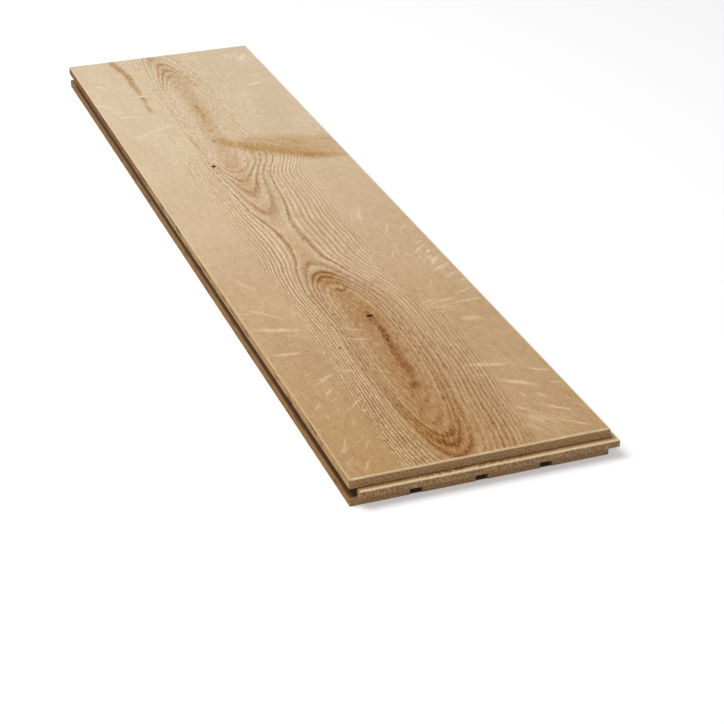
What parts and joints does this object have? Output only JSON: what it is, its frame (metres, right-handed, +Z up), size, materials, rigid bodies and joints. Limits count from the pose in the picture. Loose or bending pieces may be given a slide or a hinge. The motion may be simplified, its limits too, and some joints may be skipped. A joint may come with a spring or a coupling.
{
  "type": "wide plank floorboard",
  "caption": "Solid oak floorboard with a matched tongue and groove round its edges, relief channels along its underside and a small bevel round its face.",
  "frame": {"origin": "the middle of the underside, at the centre of the rectangle that the board covers, tongues included", "axes": "+X across the board towards the side tongue, +Y along the board towards the grooved end, +Z up out of the face"},
  "size_m": [0.185, 0.825, 0.02],
  "materials": {
    "oak": "planed and sanded bare oak, matt"
  },
  "bodies": {
    "root": {"oak_plank": "oak"}
  },
  "joints": []
}
